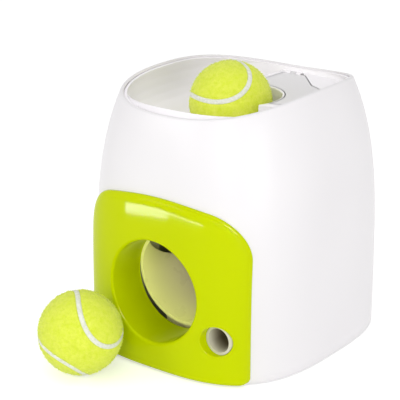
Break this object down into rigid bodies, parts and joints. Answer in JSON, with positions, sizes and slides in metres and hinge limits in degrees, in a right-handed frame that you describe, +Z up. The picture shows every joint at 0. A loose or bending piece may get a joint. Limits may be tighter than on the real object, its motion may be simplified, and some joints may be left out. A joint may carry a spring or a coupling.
{
  "type": "dog ball launcher",
  "caption": "Free-standing ball and treat launcher for dogs: a ball dropped in the basin tips a lever, rolls out in front and turns a treat drum.",
  "frame": {"origin": "on the floor under the middle of the body", "axes": "+Z up, the front with both outlets faces -Y, +X to the right as the object is seen from its front"},
  "size_m": [0.1904, 0.284, 0.2227],
  "materials": {
    "white_plastic": "satin moulded ABS",
    "lime_plastic": "high gloss moulded ABS",
    "inner_plastic": "plain moulded ABS",
    "gear_plastic": "acetal, matt",
    "steel": "turned, plain",
    "screw_steel": "zinc plated",
    "pad_rubber": "matt, slightly rough",
    "ball_rubber": "matt natural rubber",
    "felt": "napped wool felt"
  },
  "bodies": {
    "body": {"body_shell": "white_plastic", "front_panel": "lime_plastic", "base_plate": "inner_plastic", "floor_pads": "pad_rubber", "top_basin": "white_plastic", "lid_hinge_pin": "steel", "left_frame": "inner_plastic", "right_frame": "inner_plastic", "lever_bushes": "gear_plastic", "drum_bush": "gear_plastic", "drum_housing": "inner_plastic", "treat_hopper": "inner_plastic", "hopper_wiper": "pad_rubber", "treat_chute": "inner_plastic", "ball_chute": "inner_plastic", "base_screws": "screw_steel", "post_screws": "screw_steel", "floor_screws": "screw_steel", "housing_screws": "screw_steel", "lever_bumper": "pad_rubber", "basin_screws": "screw_steel", "panel_screws": "screw_steel"},
    "lid": {"treat_lid": "white_plastic"},
    "lever": {"lever_shaft": "steel", "ball_lever": "inner_plastic", "sector_gear": "gear_plastic", "spring_collar": "gear_plastic", "return_spring": "steel", "shaft_clips": "steel"},
    "drum": {"drum_shaft": "steel", "drum_pinion": "gear_plastic", "portion_drum": "gear_plastic"},
    "loaded_ball": {"loaded_ball_core": "ball_rubber", "loaded_ball_felt": "felt"},
    "floor_ball": {"floor_ball_core": "ball_rubber", "floor_ball_felt": "felt"}
  },
  "joints": [
    {"name": "lid_hinge", "type": "hinge", "parent": "body", "child": "lid", "pos_m": [0, 0.079, 0.19475], "axis": [-1, 0, 0], "range_deg": [0, 95]},
    {"name": "lever_pivot", "type": "hinge", "parent": "body", "child": "lever", "pos_m": [0, -0.069, 0.165], "axis": [1, 0, 0], "range_deg": [-30, 0], "stiffness_Nm_per_rad": 0.12, "springref_deg": 42.97},
    {"name": "drum_spin", "type": "hinge", "parent": "body", "child": "drum", "pos_m": [0, -0.04083, 0.11202], "axis": [1, 0, 0], "range_deg": [0, 90]},
    {"name": "ball_loading", "type": "slide", "parent": "body", "child": "loaded_ball", "axis": [0, 0, 1], "range_m": [0, 0.05]},
    {"name": "ball_rolls_out", "type": "slide", "parent": "body", "child": "floor_ball", "axis": [0, -1, 0], "range_m": [0, 0.12]}
  ],
  "couplings": [
    {"joint": "drum_spin", "follows": "lever_pivot", "ratio": -3}
  ]
}
